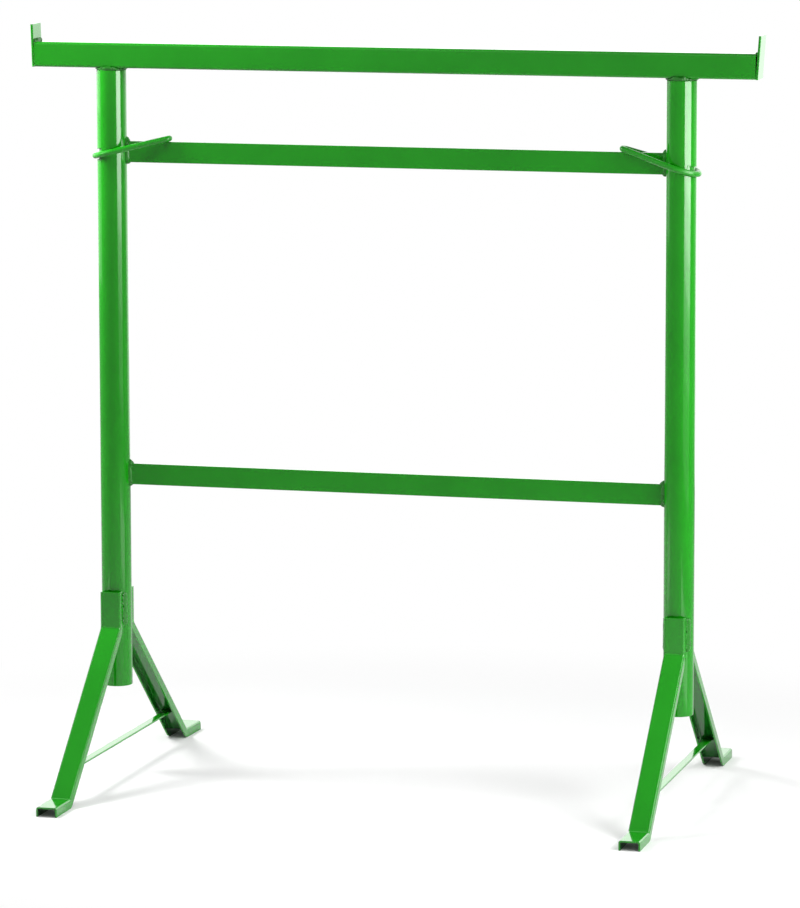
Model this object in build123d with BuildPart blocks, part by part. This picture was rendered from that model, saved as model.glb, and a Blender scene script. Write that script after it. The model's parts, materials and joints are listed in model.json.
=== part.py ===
from build123d import *
import math
import os

# Adjustable trestle with choke rings, shown at its lowest setting.
# Millimetres, +X to the right, +Y to the rear, +Z up, origin on the floor under the middle.

# Posts: an inner tube slides in each outer tube
post_spacing = 930.0
outer_tube_od = 48.3
outer_tube_wall = 2.6
left_post_bottom = 145.7
right_post_bottom = 142.0
inner_tube_od = 42.4
inner_tube_wall = 2.6
inner_tube_inset = 22.0

# Top rail, its end stops and the weld collars under it
board_height = 1188.0
left_overhang = 122.9
right_overhang = 119.5
top_rail_size = 40.0
top_rail_wall = 3.0
top_rail_corner = 4.0
stop_height = 68.0
stop_thickness = 4.0
left_stop_lean = 1.8
right_stop_lean = 4.0
stop_edge = 0.8
stop_weld_inset = 1.5
collar_height = 3.5
collar_width = 2.7
collar_sides = 24
rim_gap = 0.3

# Cross rails between the posts
cross_rail_height = 34.0
cross_rail_thickness = 6.0
cross_rail_edge = 1.0
upper_rail_drop = 157.3
cross_rail_spacing = 521.5
rail_weld_side = 3.2
rail_weld_end = 6.0
rail_weld_run = 5.2
rail_weld_root = 1.5
rail_weld_toe = 0.1

# Legs: a U-channel with its web outwards, bent twice, each turned about its post as it was welded on
channel_width = 34.0
channel_depth = 15.5
channel_wall = 3.0
channel_corner = 3.5
leg_top_height = 302.0
leg_bend_height = 244.0
foot_bend_reach = 288.0
foot_reach = 355.0
leg_bend_radius = 6.0
seat_gap = 0.05
leg_weld_radius = 5.5
leg_weld_inset = 3.0
front_left_turn = -0.5
rear_left_turn = -2.2
front_right_turn = 0.0
rear_right_turn = 0.0

# Ties between the front and rear legs
tie_width = 13.0
tie_thickness = 3.0
tie_height = 53.0
tie_weld_leg = 6.5
tie_weld_inset = 1.0

# Choke rings: drop-shaped loops of round bar, one end over the upper rail, one in the post's notch
ring_bar = 9.5
ring_bar_sides = 12
ring_length = 126.2
ring_apex_radius = 7.0
ring_slack = 2.85
left_ring_tilt = 13.6
right_ring_tilt = 17.0
ring_rest_gap = 0.6
choke_gap = 0.95
notch_lift = 5.0
notch_drop = 1.1
notch_clearance = 3.0

# Sizes that follow from the ones above
outer_radius = outer_tube_od / 2
inner_radius = inner_tube_od / 2
rail_bottom = board_height - top_rail_size
outer_tube_top = rail_bottom - collar_height - rim_gap
top_rail_length = left_overhang + post_spacing + right_overhang
upper_rail_top = board_height - upper_rail_drop
lower_rail_top = upper_rail_top - cross_rail_spacing
channel_inside = channel_width - 2 * channel_wall
flange_tip_reach = math.sqrt(outer_radius**2 - (channel_inside / 2) ** 2) + seat_gap
web_reach = flange_tip_reach + channel_depth
leg_run = foot_bend_reach - web_reach
leg_drop = leg_bend_height - channel_depth
leg_slope = math.atan2(leg_drop, leg_run)

sides = {"left": -1, "right": 1}
ends = {"front": -1, "rear": 1}
post_bottom = {-1: left_post_bottom, 1: right_post_bottom}
inner_tube_bottom = max(post_bottom.values()) + inner_tube_inset
rail_end = {-1: -post_spacing / 2 - left_overhang, 1: post_spacing / 2 + right_overhang}
stop_lean = {-1: math.radians(left_stop_lean), 1: math.radians(right_stop_lean)}
ring_tilt = {-1: math.radians(left_ring_tilt), 1: math.radians(right_ring_tilt)}
leg_turn = {
    (-1, -1): math.radians(front_left_turn),
    (-1, 1): math.radians(rear_left_turn),
    (1, -1): math.radians(front_right_turn),
    (1, 1): math.radians(rear_right_turn),
}

os.makedirs("parts", exist_ok=True)


def save(part, name):
    part.label = name
    export_step(part, f"parts/{name}.step")


def post_axis(side):
    return side * post_spacing / 2


def tube(side, od, wall, bottom, top):
    with BuildPart() as made:
        with BuildSketch(Plane((post_axis(side), 0, bottom))):
            Circle(od / 2)
            Circle(od / 2 - wall, mode=Mode.SUBTRACT)
        extrude(amount=top - bottom)
    return made.part


# Choke ring, in its own tilted plane: a small bend at the apex over the upper rail, a large bend in the
# notch, and two straight strands that touch both
ring_apex_height = upper_rail_top + ring_rest_gap + ring_bar / 2
ring_tip_reach = inner_radius + choke_gap + ring_bar / 2
ring_tip_radius = outer_radius + ring_slack + ring_bar / 2
strand_angle = math.asin(
    (ring_tip_radius - ring_apex_radius) / (ring_length - ring_tip_radius - ring_apex_radius)
)


def ring_apex_reach(side):
    return ring_length * math.cos(ring_tilt[side]) - ring_tip_reach


def ring_plane(side):
    sin_t, cos_t = math.sin(ring_tilt[side]), math.cos(ring_tilt[side])
    origin = (post_axis(side) - side * ring_apex_reach(side), 0, ring_apex_height)
    return Plane(origin=origin, x_dir=(side * cos_t, 0, -sin_t), z_dir=(side * sin_t, 0, cos_t))


def choke_ring(side):
    apex_center = ring_apex_radius
    tip_center = ring_length - ring_tip_radius
    sin_a, cos_a = math.sin(strand_angle), math.cos(strand_angle)
    apex_x, apex_y = apex_center - ring_apex_radius * sin_a, ring_apex_radius * cos_a
    tip_x, tip_y = tip_center - ring_tip_radius * sin_a, ring_tip_radius * cos_a
    with BuildPart() as made:
        with BuildLine(ring_plane(side)) as loop:
            Line((apex_x, apex_y), (tip_x, tip_y))
            ThreePointArc((tip_x, tip_y), (ring_length, 0), (tip_x, -tip_y))
            Line((tip_x, -tip_y), (apex_x, -apex_y))
            ThreePointArc((apex_x, -apex_y), (0, 0), (apex_x, apex_y))
        path = loop.wire()
        with BuildSketch(Plane(origin=path @ 0, z_dir=path % 0)):
            RegularPolygon(ring_bar / 2, ring_bar_sides)
        sweep(path=path)
    return made.part


# The notch's flat bottom lies clear of the ring's large bend when the ring is choked on the inner tube
def notch_reach(side):
    bend_inside = ring_tip_radius - ring_bar / 2
    bend_offset = ring_tip_radius * math.cos(ring_tilt[side]) - inner_radius - ring_bar / 2
    crossing = (bend_inside**2 - outer_radius**2 - bend_offset**2) / (2 * bend_offset)
    return crossing - notch_clearance


def outer_tube(side):
    with BuildPart() as made:
        add(tube(side, outer_tube_od, outer_tube_wall, post_bottom[side], outer_tube_top))
        bottom_of_notch = (ring_apex_reach(side) + notch_reach(side)) / math.cos(ring_tilt[side])
        notch_height = ring_bar + notch_lift + notch_drop
        across = ring_plane(side)
        slot = Plane(origin=across.origin, x_dir=across.x_dir, z_dir=(0, -side, 0))
        with BuildSketch(slot):
            with Locations((bottom_of_notch, (notch_lift - notch_drop) / 2)):
                Rectangle(outer_tube_od, notch_height, align=(Align.MIN, Align.CENTER))
        extrude(amount=outer_tube_od, both=True, mode=Mode.SUBTRACT)
    return made.part


for side_name, side in sides.items():
    save(outer_tube(side), f"outer_tube_{side_name}")
    save(
        tube(side, inner_tube_od, inner_tube_wall, inner_tube_bottom, rail_bottom),
        f"inner_tube_{side_name}",
    )
    save(choke_ring(side), f"choke_ring_{side_name}")


# Cross rails: flat bars on edge whose ends meet the posts
cross_rail_length = post_spacing - outer_tube_od


def cross_rail(top):
    with BuildPart() as made:
        with BuildSketch(Plane.YZ.offset(-cross_rail_length / 2)):
            with Locations((0, top - cross_rail_height / 2)):
                RectangleRounded(cross_rail_thickness, cross_rail_height, cross_rail_edge)
        extrude(amount=cross_rail_length)
    return made.part


# A weld frame round a rail's end: a prism that narrows in the view from above and from the front
def rail_weld(side, top):
    middle = top - cross_rail_height / 2
    root = outer_radius - rail_weld_root
    toe = outer_radius + rail_weld_run
    post = (post_axis(side), 0, middle)
    views = {
        Plane(origin=post, x_dir=(-side, 0, 0), z_dir=(0, 0, 1)): (cross_rail_thickness / 2, rail_weld_side),
        Plane(origin=post, x_dir=(-side, 0, 0), z_dir=(0, side, 0)): (cross_rail_height / 2, rail_weld_end),
    }
    with BuildPart() as made:
        for number, (view, (half, leg_length)) in enumerate(views.items()):
            with BuildSketch(view):
                with BuildLine():
                    Polyline(
                        (root, half + leg_length),
                        (toe, half + rail_weld_toe),
                        (toe, -half - rail_weld_toe),
                        (root, -half - leg_length),
                        close=True,
                    )
                make_face()
            extrude(amount=cross_rail_height, both=True, mode=Mode.INTERSECT if number else Mode.ADD)
        with BuildSketch(Plane(post)):
            Circle(outer_radius)
        extrude(amount=cross_rail_height, both=True, mode=Mode.SUBTRACT)
        add(cross_rail(top), mode=Mode.SUBTRACT)
    return made.part


for level, top in {"upper": upper_rail_top, "lower": lower_rail_top}.items():
    save(cross_rail(top), f"{level}_cross_rail")
    for side_name, side in sides.items():
        save(rail_weld(side, top), f"{level}_rail_weld_{side_name}")


# The upright plane through a post, its legs and their tie, with its first axis outwards to an end
def leg_side_view(side, end, turn):
    outward = (-end * math.sin(turn), end * math.cos(turn), 0)
    across = (end * math.cos(turn), end * math.sin(turn), 0)
    return Plane(origin=(post_axis(side), 0, 0), x_dir=outward, z_dir=across)


# Legs: the channel's web follows a line that is upright on the post, slants down and ends in a flat foot
def leg(side, end):
    side_view = leg_side_view(side, end, leg_turn[side, end])
    with BuildPart() as made:
        with BuildLine(side_view) as web:
            FilletPolyline(
                (web_reach, leg_top_height),
                (web_reach, leg_bend_height),
                (foot_bend_reach, channel_depth),
                (foot_reach, channel_depth),
                radius=leg_bend_radius,
            )
        path = web.wire()
        with BuildSketch(Plane(origin=path @ 0, x_dir=-side_view.z_dir, z_dir=path % 0)) as section:
            Rectangle(channel_width, channel_depth, align=(Align.CENTER, Align.MAX))
            fillet(section.vertices().group_by(Axis.Y)[-1], channel_corner)
            with Locations((0, -channel_wall)):
                Rectangle(channel_inside, channel_depth, align=(Align.CENTER, Align.MAX), mode=Mode.SUBTRACT)
        sweep(path=path)
    return made.part


# Beads that run down both flange tips and join the upright part of a leg to its post
def leg_weld(side, end):
    foot_of_bead = leg_bend_height + leg_weld_inset
    across = leg_side_view(side, end, leg_turn[side, end]).z_dir
    with BuildPart() as made:
        with BuildSketch(Plane(origin=(post_axis(side), 0, foot_of_bead), x_dir=across)):
            with Locations((-channel_width / 2, flange_tip_reach), (channel_width / 2, flange_tip_reach)):
                Circle(leg_weld_radius)
            with Locations((0, flange_tip_reach + channel_depth / 2)):
                Rectangle(channel_width, channel_depth, mode=Mode.SUBTRACT)
            Rectangle(channel_inside, outer_tube_od, mode=Mode.SUBTRACT)
            Circle(outer_radius, mode=Mode.SUBTRACT)
        extrude(amount=leg_top_height - leg_weld_inset - foot_of_bead)
    return made.part


for side_name, side in sides.items():
    for end_name, end in ends.items():
        save(leg(side, end), f"leg_{end_name}_{side_name}")
        save(leg_weld(side, end), f"leg_weld_{end_name}_{side_name}")


# Reach of the inner face of the slanting web at a height
def web_inside(height):
    return web_reach + (leg_bend_height - height) * leg_run / leg_drop - channel_wall / math.sin(leg_slope)


tie_top = tie_height + tie_thickness / 2
tie_bottom = tie_height - tie_thickness / 2


# A tie runs straight between the webs of a front and a rear leg, whatever their turns
def leg_tie(side):
    middle_turn = (leg_turn[side, 1] + leg_turn[side, -1]) / 2
    half_turn = (leg_turn[side, 1] - leg_turn[side, -1]) / 2
    aside = -web_inside(tie_height) * math.sin(half_turn)
    top_reach = web_inside(tie_top) * math.cos(half_turn)
    bottom_reach = web_inside(tie_bottom) * math.cos(half_turn)
    with BuildPart() as made:
        with BuildSketch(leg_side_view(side, ends["rear"], middle_turn).offset(aside)):
            with BuildLine():
                Polyline(
                    (-bottom_reach, tie_bottom),
                    (bottom_reach, tie_bottom),
                    (top_reach, tie_top),
                    (-top_reach, tie_top),
                    close=True,
                )
            make_face()
        extrude(amount=tie_width / 2, both=True)
        for end in ends.values():
            add(leg(side, end), mode=Mode.SUBTRACT)
    return made.part


# A fillet bead across each end of a tie, between its top and the leg's web
def tie_weld(side):
    bead_top = tie_top + tie_weld_leg * math.sin(leg_slope)
    with BuildPart() as made:
        for end in ends.values():
            with BuildSketch(leg_side_view(side, end, leg_turn[side, end])):
                with BuildLine():
                    Polyline(
                        (web_inside(tie_top), tie_top),
                        (web_inside(bead_top), bead_top),
                        (web_inside(tie_top) - tie_weld_leg, tie_top),
                        close=True,
                    )
                make_face()
        extrude(amount=channel_inside / 2 - tie_weld_inset, both=True)
    return made.part


for side_name, side in sides.items():
    save(leg_tie(side), f"leg_tie_{side_name}")
    save(tie_weld(side), f"tie_weld_{side_name}")


# Top rail: a square tube, open at its ends behind the stops
rail_middle = rail_bottom + top_rail_size / 2
rail_inside = top_rail_size - 2 * top_rail_wall

with BuildPart() as top_rail:
    with BuildSketch(Plane.YZ.offset(rail_end[-1])):
        with Locations((0, rail_middle)):
            RectangleRounded(top_rail_size, top_rail_size, top_rail_corner)
            RectangleRounded(rail_inside, rail_inside, top_rail_corner - top_rail_wall, mode=Mode.SUBTRACT)
    extrude(amount=top_rail_length)
save(top_rail.part, "top_rail")


# End stops lean outwards from the lower edge of the rail's end
def end_stop(side):
    outward = (side * math.cos(stop_lean[side]), 0, -math.sin(stop_lean[side]))
    with BuildPart() as made:
        with BuildSketch(Plane(origin=(rail_end[side], 0, rail_bottom), x_dir=outward, z_dir=(0, -side, 0))):
            Rectangle(stop_thickness, stop_height, align=(Align.MIN, Align.MIN))
        extrude(amount=top_rail_size / 2, both=True)
        fillet(made.edges().filter_by(Axis.Y), stop_edge)
    return made.part


# The weld fills the wedge that the stop's lean leaves at the walls of the rail's end
def stop_weld(side):
    front_view = Plane(origin=(rail_end[side], 0, rail_bottom), x_dir=(side, 0, 0), z_dir=(0, -side, 0))
    foot = top_rail_wall + stop_edge
    slope = math.tan(stop_lean[side])
    with BuildPart() as made:
        with BuildSketch(front_view):
            with BuildLine():
                Polyline(
                    (0, foot),
                    (foot * slope, foot),
                    (top_rail_size * slope, top_rail_size),
                    (0, top_rail_size),
                    close=True,
                )
            make_face()
        extrude(amount=top_rail_size / 2 - stop_weld_inset, both=True)
        with BuildSketch(front_view):
            with Locations((0, top_rail_size / 2)):
                Rectangle(top_rail_size, rail_inside)
        extrude(amount=rail_inside / 2, both=True, mode=Mode.SUBTRACT)
    return made.part


# Collars: the bead between inner tube and rail, which comes to rest on the post's rim
def top_weld(side):
    with BuildPart() as made:
        with BuildSketch(Plane((post_axis(side), 0, rail_bottom - collar_height))):
            RegularPolygon(inner_radius + collar_width, collar_sides)
            RegularPolygon(inner_radius, collar_sides, major_radius=False, mode=Mode.SUBTRACT)
        extrude(amount=collar_height)
    return made.part


for side_name, side in sides.items():
    save(end_stop(side), f"end_stop_{side_name}")
    save(stop_weld(side), f"stop_weld_{side_name}")
    save(top_weld(side), f"top_weld_{side_name}")
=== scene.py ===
import json
import math
import bmesh
import bpy
import numpy as np
from mathutils import Matrix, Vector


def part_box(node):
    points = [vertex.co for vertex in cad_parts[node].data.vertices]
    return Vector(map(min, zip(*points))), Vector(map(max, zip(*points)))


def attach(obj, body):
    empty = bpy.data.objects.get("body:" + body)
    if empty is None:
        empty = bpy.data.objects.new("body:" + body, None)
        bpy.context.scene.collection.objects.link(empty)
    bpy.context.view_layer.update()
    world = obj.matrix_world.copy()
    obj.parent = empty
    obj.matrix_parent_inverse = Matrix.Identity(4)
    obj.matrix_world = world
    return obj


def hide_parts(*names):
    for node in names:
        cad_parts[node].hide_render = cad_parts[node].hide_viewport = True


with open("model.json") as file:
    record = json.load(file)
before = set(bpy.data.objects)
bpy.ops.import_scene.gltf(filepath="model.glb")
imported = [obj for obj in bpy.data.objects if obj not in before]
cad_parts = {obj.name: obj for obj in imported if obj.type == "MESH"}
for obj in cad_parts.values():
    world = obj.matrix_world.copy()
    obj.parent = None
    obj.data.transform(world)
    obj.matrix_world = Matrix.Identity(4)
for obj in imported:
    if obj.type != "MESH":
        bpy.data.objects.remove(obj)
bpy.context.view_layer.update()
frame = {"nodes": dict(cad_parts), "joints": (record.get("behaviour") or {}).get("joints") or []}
print("frame loaded:", len(frame["nodes"]), "nodes")

mm = 0.001   # the pieces' sizes are in millimetres; the paint, the studio and the camera are in metres
fullTurn = 2 * np.pi
sides = {"left": -1, "right": 1}
ends = {"front": -1, "rear": 1}
acrossX = np.array([1.0, 0.0, 0.0])
acrossY = np.array([0.0, 1.0, 0.0])
upward = np.array([0.0, 0.0, 1.0])


def nodeBox(name):
    low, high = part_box(name)
    return np.array(low) / mm, np.array(high) / mm


def hingePoint(name):
    return np.array(next(joint["pos_m"] for joint in frame["joints"] if joint["name"] == name)) / mm


# Fill a shader node's inputs, each with another node's output or with a plain value
def fillInputs(tree, node, inputs):
    for socket, value in inputs.items():
        if isinstance(value, bpy.types.NodeSocket):
            tree.links.new(value, node.inputs[socket])
        else:
            node.inputs[socket].default_value = value


def addNode(tree, kind, inputs=None, **settings):
    node = tree.nodes.new(kind)
    for name, value in settings.items():
        setattr(node, name, value)
    fillInputs(tree, node, inputs or {})
    return node


# Values from start to stop become values from low to high, and no more than that beyond
def mapRange(tree, value, start, stop, low, high, interpolation="LINEAR"):
    inputs = {"Value": value, "From Min": start, "From Max": stop, "To Min": low, "To Max": high}
    return addNode(tree, "ShaderNodeMapRange", inputs, interpolation_type=interpolation).outputs["Result"]


def mixColours(tree, share, first, second):
    inputs = {"Factor": share, "A": first, "B": second}
    return addNode(tree, "ShaderNodeMix", inputs, data_type="RGBA").outputs["Result"]


def twoValues(tree, operation, first, second):
    return addNode(tree, "ShaderNodeMath", {0: first, 1: second}, operation=operation).outputs["Value"]


# Finishes: a glossy brushed-on enamel, with a darker colour inside the legs that is painted shade; over the weld
# beads it is rougher and darker, most so on the small beads under the top rail and at its stops, where it is
# painted shade
enamelLook = {
    "frameEnamel": {"deep": (0.004, 0.225, 0.002), "fresh": (0.007, 0.262, 0.004), "peel": 0.10, "sag": 0.10,
                    "glossy": 0.06, "dull": 0.12, "hollow": (0.008, 0.105, 0.012)},
    # the upper frame's enamel is a touch darker than the frame's: painted shade, as the key overhead lights the
    # top rail more
    "upperEnamel": {"deep": (0.004, 0.216, 0.002), "fresh": (0.007, 0.254, 0.004), "peel": 0.10, "sag": 0.08,
                    "glossy": 0.06, "dull": 0.12},
    "ringEnamel": {"deep": (0.004, 0.205, 0.002), "fresh": (0.008, 0.250, 0.005), "peel": 0.14, "sag": 0.12,
                   "glossy": 0.20, "dull": 0.34},
    "weldEnamel": {"deep": (0.003, 0.120, 0.001), "fresh": (0.007, 0.215, 0.004), "peel": 0.20, "sag": 0.24,
                   "glossy": 0.24, "dull": 0.38},
    # the small beads' extra darkness is painted shade, for the corners under the top rail and against its stops
    "beadEnamelPaintedShade": {"deep": (0.002, 0.060, 0.001), "fresh": (0.005, 0.140, 0.003), "peel": 0.20, "sag": 0.24,
                   "glossy": 0.30, "dull": 0.48},
}
paint = {"ior": 1.5, "noiseSpan": (0.3, 0.7),
         "patches": {"scale": 9.0, "detail": 6.0},     # of deep and fresh colour
         "shine": {"scale": 46.0, "detail": 4.0},
         "peel": {"scale": 1300.0, "detail": 1.0}, "peelDepth": 0.00002,
         "sag": {"scale": 95.0, "detail": 2.0, "stretch": (1.0, 1.0, 0.3)}, "sagDepth": 0.0004,
         "nibScale": 75.0, "nibSize": 0.05, "nibStrength": 0.35, "nibDepth": 0.00015}


def enamel(name, look):
    made = bpy.data.materials.new(name)
    made.use_nodes = True
    tree = made.node_tree
    spot = addNode(tree, "ShaderNodeTexCoord").outputs["Object"]

    def noise(scale, detail, stretch=(1.0, 1.0, 1.0)):
        place = addNode(tree, "ShaderNodeMapping", {"Vector": spot, "Scale": stretch}).outputs["Vector"]
        inputs = {"Vector": place, "Scale": scale, "Detail": detail}
        return addNode(tree, "ShaderNodeTexNoise", inputs).outputs["Fac"]

    patches = mapRange(tree, noise(**paint["patches"]), *paint["noiseSpan"], 0.0, 1.0)
    colour = mixColours(tree, patches, (*look["deep"], 1.0), (*look["fresh"], 1.0))
    if "hollow" in look:   # painted shade inside the legs' channels, deepening towards the feet
        hollow = addNode(tree, "ShaderNodeAttribute", attribute_name="hollow").outputs["Fac"]
        colour = mixColours(tree, hollow, colour, (*look["hollow"], 1.0))
    roughness = mapRange(tree, noise(**paint["shine"]), *paint["noiseSpan"], look["glossy"], look["dull"])

    nibs = addNode(tree, "ShaderNodeTexVoronoi", {"Vector": spot, "Scale": paint["nibScale"]}).outputs["Distance"]
    reliefs = [
        (noise(**paint["peel"]), look["peel"], paint["peelDepth"]),   # orange peel
        (noise(**paint["sag"]), look["sag"], paint["sagDepth"]),      # sags of the wet coat
        (mapRange(tree, nibs, 0.0, paint["nibSize"], 1.0, 0.0), paint["nibStrength"], paint["nibDepth"]),   # dust
    ]
    normal = {}
    for height, strength, depth in reliefs:
        inputs = {"Height": height, "Strength": strength, "Distance": depth, **normal}
        normal = {"Normal": addNode(tree, "ShaderNodeBump", inputs).outputs["Normal"]}
    fillInputs(tree, tree.nodes["Principled BSDF"],
               {"IOR": paint["ior"], "Base Color": colour, "Roughness": roughness, **normal})
    return made


finishes = {name: enamel(name, look) for name, look in enamelLook.items()}
print("finishes:", ", ".join(finishes))


# Meshes: points closer than mergeWithin are one, and edges steeper than these angles in degrees are drawn sharp
mergeWithin = 0.002
sharpEdge, sharpFillet, sharpBead = 40.0, 60.0, 70.0
cornerSteps = 7   # points round each corner of an outline


# Quads of a grid of rows x cols points, closed round in either direction if asked; keep marks the cells to fill
def gridFaces(rows, cols, closeRows=False, closeCols=False, keep=None, start=0):
    row, col = np.indices((rows - (not closeRows), cols - (not closeCols)))
    if keep is not None:
        row, col = row[keep], col[keep]
    row, col = row.ravel(), col.ravel()
    nextRow, nextCol = (row + 1) % rows, (col + 1) % cols
    corners = (row * cols + col, row * cols + nextCol, nextRow * cols + nextCol, nextRow * cols + col)
    return (np.stack(corners, -1) + start).tolist()


# Quads between two closed loops of points that run side by side
def joinLoops(first, second):
    return np.stack([first, np.roll(first, -1), np.roll(second, -1), second], -1).tolist()


# Quads from loop to loop of a row of loops, its last loop joined to its first
def ringFaces(points):
    return gridFaces(*points.shape[:2], closeRows=True, closeCols=True)


# Quads from loop to loop, for beads that end in a point; number counts the like beads before this one
def beadFaces(points, number=0):
    rows, cols = points.shape[:2]
    return gridFaces(rows, cols, closeCols=True, start=number * rows * cols)


# Quads from loop to loop, and the first and last loop filled
def stackFaces(points):
    rows, cols = points.shape[:2]
    loop = np.arange(cols)
    return gridFaces(rows, cols, closeCols=True) + [loop.tolist(), (loop + (rows - 1) * cols).tolist()]


def addPiece(name, points, faces, finish, body, stands, sharp=sharpEdge, hollow=None):
    mesh = bpy.data.meshes.new(name)
    mesh.from_pydata((np.reshape(points, (-1, 3)) * mm).tolist(), [], faces)
    # hollow: each point's share of painted shade, which the finish mixes into its colour
    if hollow is not None:
        mesh.attributes.new("hollow", "FLOAT", "POINT").data.foreach_set("value", np.ravel(hollow))
    shell = bmesh.new()
    shell.from_mesh(mesh)
    bmesh.ops.remove_doubles(shell, verts=shell.verts, dist=mergeWithin * mm)
    bmesh.ops.recalc_face_normals(shell, faces=shell.faces)
    shell.to_mesh(mesh)
    shell.free()
    mesh.shade_smooth()
    mesh.set_sharp_from_angle(angle=math.radians(sharp))
    mesh.materials.append(finishes[finish])
    piece = bpy.data.objects.new(name, mesh)
    bpy.context.scene.collection.objects.link(piece)
    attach(piece, body)
    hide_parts(*stands)
    return piece


# Places evenly round a full turn, in radians
def roundTurn(count):
    return np.linspace(0, fullTurn, count, endpoint=False)


# A profile carried along a path: path point + profile x * first axis + profile y * second axis
def carried(profile, path, first, second):
    first, second = np.atleast_2d(first)[:, None], np.atleast_2d(second)[:, None]
    return path[:, None] + profile[..., :1] * first + profile[..., 1:] * second


# An outline of arcs: about each centre, the radius less the inset (more, where the corner turns inwards)
def cornerOutline(centres, radii, turns, hollow, insets):
    angle = np.radians(np.array(turns, float)[:, None] + np.where(hollow, -90.0, 90.0)[:, None]
                       * np.linspace(0, 1, cornerSteps))
    reach = np.array(radii)[None] + np.where(hollow, 1.0, -1.0) * np.atleast_1d(insets)[:, None]
    arc = np.stack([np.cos(angle), np.sin(angle)], -1)
    loop = np.array(centres, float)[None, :, None] + reach[..., None, None] * arc
    return loop.reshape(len(reach), -1, 2)


# A rounded rectangle, drawn in all round by each inset
def barOutline(width, height, radius, insets):
    centres = np.array([[1, 1], [-1, 1], [-1, -1], [1, -1]]) * [width / 2 - radius, height / 2 - radius]
    return cornerOutline(centres, [radius] * 4, [0, 90, 180, 270], [False] * 4, insets)


# A worn end: on a quarter circle, inset = worn * (1 - sin a) at worn * (1 - cos a) from the end
def wornEnd(worn, steps=4):
    angle = np.linspace(0, np.pi / 2, steps)
    return worn * (1 - np.sin(angle)), worn * (1 - np.cos(angle))


# A bar with worn ends: the rounded rectangle carried in a straight line from start to finish
def barPoints(start, finish, first, second, width, height, radius, worn):
    start, finish = np.array(start, float), np.array(finish, float)
    length = np.linalg.norm(finish - start)
    inset, back = wornEnd(worn)
    stations = np.concatenate([back, length - back[::-1]])
    path = start + stations[:, None] * (finish - start) / length
    return carried(barOutline(width, height, radius, np.concatenate([inset, inset[::-1]])), path, first, second)


# Large faces keep their own normals, so that a flat face mirrors as one plane up to its rounded edges
def evenFaces(piece):
    even = piece.modifiers.new("evenFaces", "WEIGHTED_NORMAL")
    even.weight = 50
    even.keep_sharp = True


def addBar(name, finish, body, stands, *sizes):
    points = barPoints(*sizes)
    evenFaces(addPiece(name, points, stackFaces(points), finish, body, stands))


# A revolved wall: a rounded slim rectangle, wall thick and as high as the tube, turned about the post's axis
def wallPoints(axisX, radius, wall, low, high, edge, columns):
    profile = barOutline(wall, high - low, edge, 0.0)[0] + [radius - wall / 2, (low + high) / 2]
    angle = roundTurn(columns)
    reach, height = profile[:, :1], np.broadcast_to(profile[:, 1:], (len(profile), columns))
    return np.stack([axisX + reach * np.cos(angle), reach * np.sin(angle), height], -1)


# Weld beads in general: six waves make the lumps, and the lumps wander a little round the bead
beads = {"waves": 6, "waveSum": 2.6, "wander": 0.9, "blunt": 6.0, "around": 20, "steps": 48}


# Unevenness of a hand-laid bead: sine waves of seeded pace and phase round a turn, within about -1 to 1
def lumps(turn, seed, count):
    random = np.random.default_rng(seed)
    paces = random.integers(max(count // 2, 1), count * 2, beads["waves"])
    phases = random.uniform(0, fullTurn, beads["waves"])
    return np.sin(np.asarray(turn)[..., None] * paces + phases).sum(-1) / beads["waveSum"]


# A bead: an ellipse carried along a path; it swells and dips with the lumps and closes to a point at both ends
def beadPoints(path, first, second, wide, high, seed, count, rough):
    u = np.linspace(0, 1, len(path))
    closing = np.sqrt(np.clip(1 - np.abs(2 * u - 1) ** beads["blunt"], 0, 1))
    angle = roundTurn(beads["around"])
    pits = lumps(fullTurn * u[:, None] + beads["wander"] * np.cos(angle), seed, count)
    swell = closing[:, None] * (1 + rough * pits)
    ellipse = np.stack([wide / 2 * swell * np.cos(angle), high / 2 * swell * np.sin(angle)], -1)
    return carried(ellipse, path, first, second)


# Evenly eased places from start to finish, closer together at both ends
def easedLine(start, finish, count=beads["steps"]):
    share = (1 - np.cos(np.linspace(0, np.pi, count))) / 2
    return np.array(start, float) + share[:, None] * (np.array(finish, float) - np.array(start, float))


# Choke rings: a round bar bent to a drop, lying from the upper rail to the notch in the post
ring = {"bar": 9.5, "length": 126.2, "apexRadius": 7.0, "tipRadius": 31.75, "around": 32,
        "tipSteps": 72, "strandSteps": 24, "apexSteps": 30, "tilt": {"left": 13.6, "right": 17.0}}


# The drop's line is the hull of two circles: centre + radius along the outward normal, arc, strand, arc, strand
def ringLine():
    lean = math.asin((ring["tipRadius"] - ring["apexRadius"])
                     / (ring["length"] - ring["tipRadius"] - ring["apexRadius"]))
    wide, tight = np.pi / 2 + lean, np.pi / 2 - lean
    strand = np.linspace(0, 1, ring["strandSteps"] + 2)[1:-1]
    normal = np.concatenate([np.linspace(-wide, wide, ring["tipSteps"]), np.full(ring["strandSteps"], wide),
                             np.pi + np.linspace(-tight, tight, ring["apexSteps"]),
                             np.full(ring["strandSteps"], -wide)])
    share = np.concatenate([np.zeros(ring["tipSteps"]), strand,       # 0 at the tip, 1 at the apex
                            np.ones(ring["apexSteps"]), 1 - strand])
    centre = (1 - share) * (ring["length"] - ring["tipRadius"]) + share * ring["apexRadius"]
    radius = (1 - share) * ring["tipRadius"] + share * ring["apexRadius"]
    outward = np.stack([np.cos(normal), np.sin(normal)], -1)
    return np.stack([centre, np.zeros_like(centre)], -1) + radius[:, None] * outward, outward


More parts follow.
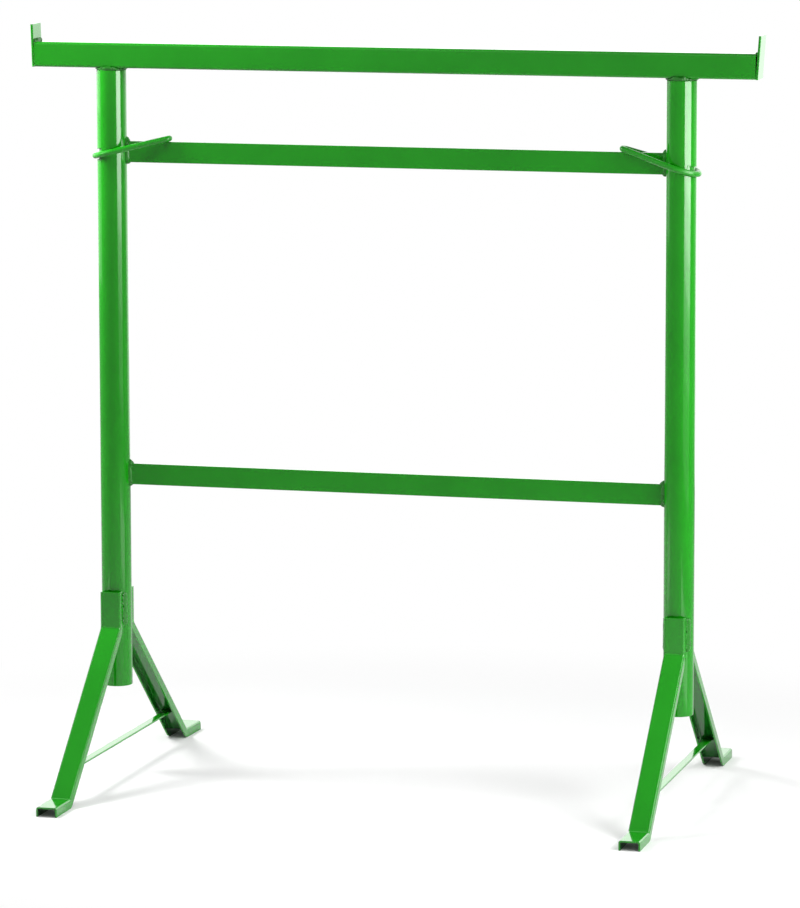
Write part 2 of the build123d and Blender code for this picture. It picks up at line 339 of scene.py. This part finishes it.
for sideName, side in sides.items():
    tilt = math.radians(ring["tilt"][sideName])
    along = np.array([side * math.cos(tilt), 0.0, -math.sin(tilt)])
    above = np.array([side * math.sin(tilt), 0.0, math.cos(tilt)])
    line, outward = ringLine()
    path = hingePoint(f"choke_ring_{sideName}_lift") + line[:, :1] * along + line[:, 1:] * acrossY
    normal = outward[:, :1] * along + outward[:, 1:] * acrossY
    angle = roundTurn(ring["around"])
    bar = ring["bar"] / 2 * np.stack([np.cos(angle), np.sin(angle)], -1)
    points = carried(bar, path, normal, above)
    addPiece(f"chokeRing_{sideName}", points, ringFaces(points), "ringEnamel", f"choke_ring_{sideName}",
             [f"choke_ring_{sideName}"])
print("choke rings")


# Posts: round tubes, each with a slanted notch on its outer side for the ring's wide end
post = {"radius": 24.15, "wall": 2.6, "notchBelow": 5.85, "notchAbove": 9.75,
        "notchReach": {"left": 9.39, "right": 11.31}, "notchColumns": 36, "otherColumns": 60,
        "rowsBelow": 11, "notchRows": 7, "rowsAbove": 3, "rimEase": 0.4, "rimSegments": 2}
innerTube = {"radius": 21.2, "wall": 2.6, "rimEase": 0.6, "columns": 96}
postAxis = {name: float(np.mean([corner[0] for corner in nodeBox(f"inner_tube_{name}")])) for name in sides}


# A post's wall: angle from the outward side by height. Grid lines lie in the ring's slanted plane across the
# notch and level out to the post's two rims; columns are drawn to the notch's side edges
def postWall(radius, sideName, apex, low, high):
    side, tilt = sides[sideName], math.radians(ring["tilt"][sideName])
    below, notch, above = post["rowsBelow"], post["notchRows"], post["rowsAbove"]
    rise = np.concatenate([np.linspace(0, 1, below + 1), np.ones(notch + above)])
    across = np.concatenate([np.full(below, -post["notchBelow"]),
                             np.linspace(-post["notchBelow"], post["notchAbove"], notch + 1),
                             np.full(above, post["notchAbove"])])
    rest = np.concatenate([np.zeros(below + notch), np.linspace(0, 1, above + 1)])
    half = np.arccos((post["notchReach"][sideName] + across * math.sin(tilt)) / radius)[:, None]
    opening = half * np.linspace(-1, 1, post["notchColumns"] + 1)
    closed = half + (fullTurn - 2 * half) * np.linspace(0, 1, post["otherColumns"] + 1)[1:-1]
    angle = np.hstack([opening, closed])
    reach = radius * np.cos(angle)
    apexReach = side * (postAxis[sideName] - apex[0])
    slanted = apex[2] + (across[:, None] - (apexReach + reach) * math.sin(tilt)) / math.cos(tilt)
    height = (low + (slanted - low) * rise[:, None]) * (1 - rest[:, None]) + high * rest[:, None]
    return np.stack([postAxis[sideName] + side * reach, radius * np.sin(angle), height], -1)


for sideName in sides:
    low, high = nodeBox(f"outer_tube_{sideName}")
    apex = hingePoint(f"choke_ring_{sideName}_lift")
    walls = [postWall(post["radius"] - less, sideName, apex, low[2], high[2]) for less in (0.0, post["wall"])]
    rows, cols = walls[0].shape[:2]
    keep = np.ones((rows - 1, cols), bool)
    bottom, top, edge = post["rowsBelow"], post["rowsBelow"] + post["notchRows"], post["notchColumns"]
    keep[bottom:top, :edge] = False
    notch = np.concatenate([bottom * cols + np.arange(edge), np.arange(bottom, top) * cols + edge,
                            top * cols + np.arange(edge, 0, -1), np.arange(top, bottom, -1) * cols])
    faces = gridFaces(rows, cols, closeCols=True, keep=keep)
    faces += gridFaces(rows, cols, closeCols=True, keep=keep, start=rows * cols)
    for rim in (np.arange(cols), (rows - 1) * cols + np.arange(cols), notch):
        faces += joinLoops(rim, rim + rows * cols)
    tube = addPiece(f"post_{sideName}", np.stack(walls), faces, "frameEnamel", "lower_frame",
                    [f"outer_tube_{sideName}"])
    bevel = tube.modifiers.new("easedRims", "BEVEL")
    bevel.width = post["rimEase"] * mm
    bevel.segments = post["rimSegments"]
    bevel.limit_method = "ANGLE"
    bevel.angle_limit = math.radians(sharpEdge)

    low, high = nodeBox(f"inner_tube_{sideName}")
    points = wallPoints(postAxis[sideName], innerTube["radius"], innerTube["wall"], low[2], high[2],
                        innerTube["rimEase"], innerTube["columns"])
    addPiece(f"innerTube_{sideName}", points, ringFaces(points), "upperEnamel", "upper_frame",
             [f"inner_tube_{sideName}"])
print("posts and inner tubes")


# Cross rails: flat bars on edge with rolled edges, and a lumpy fillet all round where each meets a post
rail = {"thick": 6.0, "high": 34.0, "edge": 1.0, "worn": 0.3}
railWeld = {"run": 5.0, "side": 2.8, "top": 5.6, "bottom": 2.6, "bulge": 0.7, "root": 1.2, "inside": 0.6,
            "squareness": 0.25, "rough": 0.26, "lumps": 13, "columns": 120, "steps": 9, "widest": 20.0, "seed": 20}


# A fillet round a rail's end: toe on the rail, toe on the post, a bulged face between them, a root inside both.
# Round the rail, the start is sign * |cos, sin| ^ squareness and the way out is sign * |cos, sin| ^ 2
def railWeldPoints(sideName, middle, seed):
    turn = roundTurn(railWeld["columns"])
    compass = np.stack([np.cos(turn), np.sin(turn)], -1)
    start = np.sign(compass) * np.abs(compass) ** railWeld["squareness"] * [rail["thick"] / 2, rail["high"] / 2]
    out = compass ** 2 * np.sign(compass)
    uneven = 1 + railWeld["rough"] * lumps(turn, seed, railWeld["lumps"])
    tall = np.where(compass[:, 1] > 0, railWeld["top"], railWeld["bottom"])
    toe = out * np.stack([np.full_like(turn, railWeld["side"]), tall], -1) * uneven[:, None]
    run = railWeld["run"] * (1 + railWeld["rough"] * lumps(turn, seed + 1, railWeld["lumps"]))
    share = np.linspace(0, 1, railWeld["steps"])
    swell = railWeld["bulge"] * uneven[:, None] * np.sin(np.pi * share)
    spread = start[:, None] + toe[:, None] * share[:, None] + swell[..., None] * out[:, None]
    inner = start[:, None] - out[:, None] * railWeld["inside"]
    outline = np.concatenate([spread, spread[:, -1:], inner], 1)
    across = np.clip(outline[..., 0], -railWeld["widest"], railWeld["widest"])
    lift = np.concatenate([run[:, None] * (1 - share) + swell, np.full((len(turn), 2), -railWeld["root"])], 1)
    x = postAxis[sideName] - sides[sideName] * (np.sqrt(post["radius"] ** 2 - across ** 2) + lift)
    return np.stack([x, outline[..., 0], middle + outline[..., 1]], -1)


for level in ("upper", "lower"):
    low, high = nodeBox(f"{level}_cross_rail")
    middle = (low[2] + high[2]) / 2
    addBar(f"{level}Rail", "frameEnamel", "lower_frame", [f"{level}_cross_rail"], (low[0], 0, middle),
           (high[0], 0, middle), acrossY, upward, rail["thick"], rail["high"], rail["edge"], rail["worn"])
    for sideName in sides:
        seed = railWeld["seed"] + 4 * (level == "upper") + 2 * (sideName == "left")
        points = railWeldPoints(sideName, middle, seed)
        addPiece(f"{level}RailWeld_{sideName}", points, ringFaces(points), "weldEnamel", "lower_frame",
                 [f"{level}_rail_weld_{sideName}"], sharpFillet)
print("cross rails")


# Legs: U-channels with the web outwards, bent twice on the press, each turned a little as it was welded on
leg = {"width": 34.0, "depth": 15.5, "wall": 3.0, "corner": 3.5, "innerCorner": 0.8, "tipEase": 0.7,
       "endEase": 0.5, "webReach": 35.23, "topHeight": 302.0, "bendHeight": 244.0, "bendReach": 288.0,
       "footReach": 355.0, "bendRadius": 6.0, "bendSteps": 10, "upperPaintedShade": 0.15,
       "turn": {("left", "front"): -0.5, ("left", "rear"): -2.2, ("right", "front"): 0.0, ("right", "rear"): 0.0}}
legWeld = {"front": {"wide": 12.0, "high": 5.0, "aside": 18.8, "reach": 16.8, "rough": 0.14},
           "rear": {"wide": 8.0, "high": 3.2, "aside": 18.0, "reach": 17.0, "rough": 0.16},
           "slant": 66.0, "inside": 22.6, "low": 247.0, "top": 299.0, "lumps": 7, "steps": 64, "seed": 40}
legSlope = math.atan2(leg["bendHeight"] - leg["depth"], leg["bendReach"] - leg["webReach"])


# The U: eight corners from one flange tip round the web to the other; the two inside the web turn inwards
def channelOutline(insets):
    half, inside, deep = leg["width"] / 2, leg["width"] / 2 - leg["wall"], leg["depth"]
    corner, inner, tip = leg["corner"], leg["innerCorner"], leg["tipEase"]
    centres = [(-half + corner, corner), (half - corner, corner),
               (half - tip, deep - tip), (inside + tip, deep - tip),
               (inside - inner, leg["wall"] + inner), (-inside + inner, leg["wall"] + inner),
               (-inside - tip, deep - tip), (-half + tip, deep - tip)]
    radii = [corner, corner, tip, tip, inner, inner, tip, tip]
    turns = [180, 270, 0, 90, 0, 270, 0, 90]
    return cornerOutline(centres, radii, turns, [False] * 4 + [True] * 2 + [False] * 2, insets)


# How much painted shade lies on the U's points: 0 outside and on the cut ends; inside, a small share down to the
# upper bend, growing from there to 1 at the foot
def channelPaintedShade(rows):
    rising = np.linspace(0, 1, cornerSteps)
    around = np.concatenate([np.zeros(3 * cornerSteps), rising, np.ones(2 * cornerSteps), rising[::-1],
                             np.zeros(cornerSteps)])
    along = np.repeat([0.0, leg["upperPaintedShade"], 1.0, 0.0], [1, rows // 2 - 1, rows // 2 - 1, 1])
    return along[:, None] * around


# The leg's line, seen from the side: straight runs and left-hand arcs, at heading h the arc's centre
# + radius * (sin h, -cos h); the insets ease its cut ends
def legLine():
    down, slanting, flat = -np.pi / 2, -legSlope, 0.0
    inset, back = wornEnd(leg["endEase"])
    line = [np.stack([np.full(len(back), leg["webReach"]), leg["topHeight"] - back], -1)]
    headings = [np.full(len(back), down)]
    knees = np.array([[leg["webReach"], leg["bendHeight"]], [leg["bendReach"], leg["depth"]]])
    for knee, before, after in zip(knees, (down, slanting), (slanting, flat)):
        trim = leg["bendRadius"] * math.tan((after - before) / 2)
        centre = knee - trim * np.array([math.cos(before), math.sin(before)]) + leg["bendRadius"] * np.array(
            [-math.sin(before), math.cos(before)])
        heading = np.linspace(before, after, leg["bendSteps"])
        line.append(centre + leg["bendRadius"] * np.stack([np.sin(heading), -np.cos(heading)], -1))
        headings.append(heading)
    line.append(np.stack([leg["footReach"] - back[::-1], np.full(len(back), leg["depth"])], -1))
    headings.append(np.full(len(back), flat))
    insets = np.concatenate([inset, np.zeros(len(knees) * leg["bendSteps"]), inset[::-1]])
    return np.concatenate(line), np.concatenate(headings), insets


# Below a post: the floor under its axis, the leg's way out and the direction across the leg
def legAxes(sideName, endName):
    end, turn = ends[endName], math.radians(leg["turn"][sideName, endName])
    out = np.array([-end * math.sin(turn), end * math.cos(turn), 0.0])
    aside = np.array([end * math.cos(turn), end * math.sin(turn), 0.0])
    return np.array([postAxis[sideName], 0.0, 0.0]), out, aside


for sideName in sides:
    for endName in ends:
        foot, out, aside = legAxes(sideName, endName)
        line, heading, insets = legLine()
        path = foot + line[:, :1] * out + line[:, 1:] * upward
        inward = np.sin(heading)[:, None] * out - np.cos(heading)[:, None] * upward
        points = carried(channelOutline(insets), path, aside, inward)
        evenFaces(addPiece(f"leg_{endName}_{sideName}", points, stackFaces(points), "frameEnamel", "lower_frame",
                           [f"leg_{endName}_{sideName}"], hollow=channelPaintedShade(len(points))))
        bead, slant, pair, faces = legWeld[endName], math.radians(legWeld["slant"]), [], []
        for number, flank in enumerate((-1, 1)):
            place = foot + flank * bead["aside"] * aside + bead["reach"] * out
            path = easedLine(place + legWeld["low"] * upward, place + legWeld["top"] * upward, legWeld["steps"])
            seed = legWeld["seed"] + 8 * (sideName == "left") + 4 * (endName == "rear") + flank
            points = beadPoints(path, math.cos(slant) * flank * aside - math.sin(slant) * out,
                                math.sin(slant) * flank * aside + math.cos(slant) * out,
                                bead["wide"], bead["high"], seed, legWeld["lumps"], bead["rough"])
            apart = points - foot                                   # no deeper than half the post's wall
            depth = np.maximum(legWeld["inside"] / np.hypot(apart[..., 0], apart[..., 1]), 1.0)
            pair.append(foot + apart * np.stack([depth, depth, np.ones_like(depth)], -1))
            faces += beadFaces(points, number)
        addPiece(f"legWeld_{endName}_{sideName}", np.stack(pair), faces, "weldEnamel", "lower_frame",
                 [f"leg_weld_{endName}_{sideName}"], sharpBead)
print("legs")


# Ties: flat bars between the webs of a front and a rear leg, with a fillet bead across each end
tie = {"width": 13.0, "thick": 3.0, "height": 53.0, "edge": 0.7, "worn": 0.4, "into": 1.2}
tieWeld = {"from": -2.0, "bite": 1.5, "to": 18.0, "inside": 0.6, "flare": 7.0, "flarePower": 2.2, "rise": 3.0,
           "lift": 1.6, "lumps": 3, "rough": 0.07, "seed": 60}


# How far out the inner face of a leg's web is at a height on its slanted run
def webInside(height):
    slope = (leg["bendReach"] - leg["webReach"]) / (leg["bendHeight"] - leg["depth"])
    return leg["webReach"] + (leg["bendHeight"] - height) * slope - leg["wall"] / math.sin(legSlope)


for sideName in sides:
    axes = {endName: legAxes(sideName, endName)[:2] for endName in ends}
    reach = webInside(tie["height"]) + tie["into"]
    front, rear = [foot + reach * out + tie["height"] * upward for foot, out in axes.values()]
    along = (rear - front) / np.linalg.norm(rear - front)
    addBar(f"tie_{sideName}", "frameEnamel", "lower_frame", [f"leg_tie_{sideName}"], front, rear,
           np.cross(along, upward), upward, tie["width"], tie["thick"], tie["edge"], tie["worn"])
    path = easedLine([tieWeld["from"], 0, 0], [tieWeld["to"], 0, 0])[:, :1]
    share = np.clip(1 - path / tieWeld["to"], 0, 1)                 # 1 at the web, 0 where the flare ends
    wide = tie["width"] - tieWeld["inside"] + 2 * tieWeld["flare"] * share ** tieWeld["flarePower"]
    high = tie["thick"] - tieWeld["inside"] + 2 * tieWeld["rise"] * share ** 2
    pair, faces = [], []
    for number, (endName, (foot, out)) in enumerate(axes.items()):
        inward = along if endName == "front" else -along
        start = foot + webInside(tie["height"]) * out + tie["height"] * upward
        seed = tieWeld["seed"] + number + 2 * (sideName == "left")
        points = beadPoints(start + path * inward + tieWeld["lift"] * share ** 2 * upward,
                            np.cross(inward, upward), upward, wide, high, seed, tieWeld["lumps"], tieWeld["rough"])
        beyond = np.maximum((points - foot) @ out - webInside(points[..., 2]) - tieWeld["bite"], 0)
        pair.append(points - beyond[..., None] * out)               # no deeper than half the web
        faces += beadFaces(points, number)
    addPiece(f"tieWeld_{sideName}", np.stack(pair), faces, "weldEnamel", "lower_frame",
             [f"tie_weld_{sideName}"], sharpBead)
print("ties")


# Top rail: a square tube, a leaning stop on each end, and the beads that hold them
topRail = {"size": 40.0, "wall": 3.0, "corner": 4.0, "innerCorner": 1.0}
endStop = {"thick": 4.0, "high": 68.0, "lean": {"left": 1.8, "right": 4.0}, "edge": 0.5, "worn": 0.7}
stopBead = {"left": {"wide": 7.0, "high": 10.0, "from": -19.0, "to": 16.0},
            "right": {"wide": 4.6, "high": 6.0, "from": -18.0, "to": 18.0},
            "under": 0.5, "beyond": 1.0, "lumps": 7, "rough": 0.16, "seed": 70}
collar = {"radius": 23.0, "wide": 4.2, "climb": 2.6, "climbFrom": 0.80, "climbOver": 0.14, "climbRough": 0.3,
          "climbLumps": 14, "into": 0.3, "rough": 0.30, "lumps": 22, "wander": 0.06, "columns": 160, "around": 18,
          "seed": 80}

railLow, railHigh = nodeBox("top_rail")
railMiddle = (railLow[2] + railHigh[2]) / 2
bore = topRail["size"] - 2 * topRail["wall"]
outer = barOutline(topRail["size"], topRail["size"], topRail["corner"], 0.0)[0]
inner = barOutline(bore, bore, topRail["innerCorner"], 0.0)[0]
path = np.array([[x, 0.0, railMiddle] for x in (railLow[0], railHigh[0], railHigh[0], railLow[0])])
points = carried(np.stack([outer, outer, inner, inner]), path, acrossY, upward)
evenFaces(addPiece("topRail", points, ringFaces(points), "upperEnamel", "upper_frame", ["top_rail"]))

for sideName, side in sides.items():
    lean = math.radians(endStop["lean"][sideName])
    outward = np.array([side * math.cos(lean), 0.0, -math.sin(lean)])
    rising = np.array([side * math.sin(lean), 0.0, math.cos(lean)])
    railEnd = np.array([railLow[0] if side < 0 else railHigh[0], 0.0, railLow[2]])
    middle = railEnd + endStop["thick"] / 2 * outward + endStop["high"] / 2 * rising
    addBar(f"endStop_{sideName}", "upperEnamel", "upper_frame", [f"end_stop_{sideName}"],
           middle - topRail["size"] / 2 * acrossY, middle + topRail["size"] / 2 * acrossY, outward, rising,
           endStop["thick"], endStop["high"], endStop["edge"], endStop["worn"])
    bead = stopBead[sideName]
    corner = railEnd + (topRail["size"] - stopBead["under"]) * upward + side * stopBead["beyond"] * acrossX
    path = easedLine(corner + bead["from"] * acrossY, corner + bead["to"] * acrossY)
    points = beadPoints(path, acrossX, upward, bead["wide"], bead["high"], stopBead["seed"] + side,
                        stopBead["lumps"], stopBead["rough"])
    addPiece(f"stopWeld_{sideName}", points, beadFaces(points), "beadEnamelPaintedShade", "upper_frame",
             [f"stop_weld_{sideName}"], sharpBead)


# A collar: an ellipse carried round the tube under the rail; it climbs on to the rail's face at front and back,
# by rise ^ 2 * (3 - 2 * rise) as |sin| of the turn grows
def collarPoints(axisX, low, seed):
    turn, angle = roundTurn(collar["columns"]), roundTurn(collar["around"])
    rise = np.clip((np.abs(np.sin(turn)) - collar["climbFrom"]) / collar["climbOver"], 0, 1)
    patchy = 1 + collar["climbRough"] * lumps(turn, seed + 1, collar["climbLumps"])
    climb = collar["climb"] * rise ** 2 * (3 - 2 * rise) * patchy
    wander = turn[:, None] + collar["wander"] * np.cos(angle)
    uneven = 1 + collar["rough"] * lumps(wander, seed, collar["lumps"])
    high = railLow[2] - low + climb + collar["into"]
    reach = collar["radius"] + collar["wide"] / 2 * uneven * np.cos(angle)
    height = (low + high / 2)[:, None] + (high / 2)[:, None] * np.sin(angle)
    return np.stack([axisX + reach * np.cos(turn)[:, None], reach * np.sin(turn)[:, None], height], -1)


for sideName in sides:
    low = nodeBox(f"top_weld_{sideName}")[0]
    points = collarPoints(postAxis[sideName], low[2], collar["seed"] + 2 * (sideName == "left"))
    addPiece(f"collar_{sideName}", points, ringFaces(points), "beadEnamelPaintedShade", "upper_frame",
             [f"top_weld_{sideName}"], sharpBead)
print("top rail, stops and collars")


# Studio: a pale floor that keeps the shadow and whitens outwards, a white surround, a small key overhead, a small
# lamp at the upper left, and soft panels at the sides and behind
studio = {"ambient": 0.05, "ceiling": 0.4, "ceilingFrom": 0.35, "ceilingTo": 0.8, "steepPanel": 0.9}
stageFloor = {"half": 30.0, "colour": 0.85, "nearWhite": 0.4, "contact": 0.04, "contactRays": 4,
              "litWithin": 0.6, "whiteBeyond": 1.25, "dimBeyond": 3.2, "dim": 0.47, "backFrom": 4.6, "backTo": 5.4}


# The panel at the right comes in bands that grow brighter upwards
def rightBand(height, tall, level):
    return {"place": (1.5, -0.8, height), "towards": (-1.0, 0.0, 0.0), "size": (1.40, tall), "level": level}


panels = {
    "key": {"place": (-0.25, -0.28, 1.75), "towards": (0.0, 0.2, -1.0), "size": (0.28, 0.28), "level": 18.5,
            "mirrored": False},
    "rightFaint": rightBand(0.40, 0.20, 0.7),
    "rightLow": rightBand(0.54, 0.08, 1.6),
    "rightMid": rightBand(0.62, 0.08, 2.2),
    "rightHigh": rightBand(0.70, 0.08, 5.2),
    "rightUpper": rightBand(0.79, 0.10, 8.5),
    "rightTop": rightBand(0.96, 0.24, 12.5),
    "rightRear": {"place": (1.5, 0.2, 1.85), "towards": (-1.0, 0.0, -0.4), "size": (1.00, 0.80), "level": 3.1},
    "rightFar": {"place": (2.2, -0.4, 1.9), "towards": (-1.0, 0.2, -0.4), "size": (1.20, 1.20), "level": 7.4},
    "leftLow": {"place": (-1.35, 0.25, 0.85), "towards": (1.0, 0.0, 0.0), "size": (0.90, 0.30), "level": 1.0},
    "leftMid": {"place": (-1.35, 0.25, 1.10), "towards": (1.0, 0.0, 0.0), "size": (0.90, 0.20), "level": 2.0},
    "leftHigh": {"place": (-1.2, -0.10, 1.42), "towards": (1.0, 0.1, -0.4), "size": (0.32, 0.50), "level": 54.0,
                 "mirrored": False},
    "leftFront": {"place": (-1.5, -0.8, 1.60), "towards": (1.0, 0.2, -0.2), "size": (0.80, 1.00), "level": 2.4},
    "rightFloor": {"place": (1.2, -0.7, 0.08), "towards": (-1.0, 0.0, 0.1), "size": (1.20, 0.14), "level": 1.6},
    "leftFloor": {"place": (-1.2, -0.4, 0.08), "towards": (1.0, 0.0, 0.1), "size": (1.00, 0.14), "level": 1.0},
    "behind": {"place": (0.0, 3.2, 2.20), "towards": (0.0, -1.0, -0.35), "size": (5.0, 2.4), "level": 1.0},
    "behindLow": {"place": (0.0, 3.2, 0.60), "towards": (0.0, -1.0, 0.0), "size": (5.0, 1.2), "level": 1.15},
}

for name, panel in panels.items():
    lamp = bpy.data.lights.new(name, "AREA")
    lamp.shape = "RECTANGLE"
    lamp.size, lamp.size_y = panel["size"]
    lamp.energy = panel["level"] * math.pi * math.prod(panel["size"])
    stand = bpy.data.objects.new(name, lamp)
    forward = np.array(panel["towards"]) / np.linalg.norm(panel["towards"])
    sideways = np.cross(forward, upward if abs(forward[2]) < studio["steepPanel"] else acrossY)
    sideways /= np.linalg.norm(sideways)
    stand.matrix_world = Matrix([[*row, place] for row, place in zip(
        np.stack([sideways, np.cross(sideways, forward), -forward], 1), panel["place"])] + [[0, 0, 0, 1]])
    stand.visible_camera = False
    stand.visible_glossy = panel.get("mirrored", True)   # the two small ones would show as hard white spots
    bpy.context.scene.collection.objects.link(stand)


# Seen straight on or mirrored, the surround is white; for everything else it is only the room's dim light
def seenDirectly(tree):
    ray = addNode(tree, "ShaderNodeLightPath").outputs
    total = ray["Is Camera Ray"]
    for kind in ("Is Glossy Ray", "Is Transmission Ray"):
        total = twoValues(tree, "MAXIMUM", total, ray[kind])
    return total


# A share of the second shader over the first goes to the tree's output
def mixShaders(tree, share, first, second, output):
    mixed = addNode(tree, "ShaderNodeMixShader", {0: share, 1: first, 2: second}).outputs["Shader"]
    fillInputs(tree, tree.nodes[output], {"Surface": mixed})


# Where a point is: the socket of one of its coordinates
def coordinate(tree, axis):
    place = addNode(tree, "ShaderNodeTexCoord").outputs["Object"]
    return addNode(tree, "ShaderNodeSeparateXYZ", {"Vector": place}).outputs[axis]


world = bpy.data.worlds.new("room")
world.use_nodes = True
bpy.context.scene.world = world
tree = world.node_tree
room = tree.nodes["Background"]
fillInputs(tree, room, {"Color": (studio["ambient"],) * 3 + (1.0,)})
ceiling = mapRange(tree, coordinate(tree, "Z"), studio["ceilingFrom"], studio["ceilingTo"], 1.0, studio["ceiling"])
white = addNode(tree, "ShaderNodeBackground", {"Color": (1.0, 1.0, 1.0, 1.0), "Strength": ceiling})
mixShaders(tree, seenDirectly(tree), room.outputs["Background"], white.outputs["Background"], "World Output")

floorMesh = bpy.data.meshes.new("floor")
floorCorners = np.array([[-1.0, -1.0, 0.0], [1.0, -1.0, 0.0], [1.0, 1.0, 0.0], [-1.0, 1.0, 0.0]])
floorMesh.from_pydata((stageFloor["half"] * floorCorners).tolist(), [], [[0, 1, 2, 3]])
floor = bpy.data.objects.new("floor", floorMesh)
bpy.context.scene.collection.objects.link(floor)
paper = bpy.data.materials.new("palePaper")
paper.use_nodes = True
tree = paper.node_tree
lit = tree.nodes["Principled BSDF"]
fillInputs(tree, lit, {"Base Color": (stageFloor["colour"],) * 3 + (1.0,), "Roughness": 1.0,
                       "Specular IOR Level": 0.0})
place = addNode(tree, "ShaderNodeTexCoord").outputs["Object"]
apart = addNode(tree, "ShaderNodeVectorMath", {0: place}, operation="LENGTH").outputs["Value"]
contact = addNode(tree, "ShaderNodeAmbientOcclusion", {"Distance": stageFloor["contact"]},
                  samples=stageFloor["contactRays"]).outputs["AO"]
near = twoValues(tree, "MULTIPLY", contact, stageFloor["nearWhite"])   # the floor under the feet stays dark
fade = mapRange(tree, apart, stageFloor["litWithin"], stageFloor["whiteBeyond"], near, 1.0, "SMOOTHSTEP")
# Mirrored, the floor grows dim far off, but not behind the object
brightness = mapRange(tree, apart, stageFloor["whiteBeyond"], stageFloor["dimBeyond"], 1.0, stageFloor["dim"])
backdrop = mapRange(tree, coordinate(tree, "Y"), stageFloor["backFrom"], stageFloor["backTo"], 0.0, 1.0)
for other in (backdrop, addNode(tree, "ShaderNodeLightPath").outputs["Is Camera Ray"]):
    brightness = twoValues(tree, "MAXIMUM", brightness, other)
glow = addNode(tree, "ShaderNodeEmission", {"Strength": brightness})
mixShaders(tree, twoValues(tree, "MULTIPLY", seenDirectly(tree), fade), lit.outputs["BSDF"],
           glow.outputs["Emission"], "Material Output")
floorMesh.materials.append(paper)
print("studio")


# Camera: a long lens from the right front, a little above the rail
view = {"place": (2.0983, -7.7913, 1.7636), "yaw": 14.998, "pitch": 8.62, "roll": -0.114, "lens": 203.28,
        "sensor": 36.0}
eye = bpy.data.cameras.new("camera")
eye.lens = view["lens"]
eye.sensor_width = view["sensor"]
camera = bpy.data.objects.new("camera", eye)
camera.matrix_world = (Matrix.Translation(view["place"]) @ Matrix.Rotation(math.radians(view["yaw"]), 4, "Z")
                       @ Matrix.Rotation(math.radians(90 - view["pitch"]), 4, "X")
                       @ Matrix.Rotation(math.radians(view["roll"]), 4, "Z"))
bpy.context.scene.collection.objects.link(camera)
bpy.context.scene.camera = camera
bpy.context.scene.view_settings.view_transform = "Standard"

print("camera set")
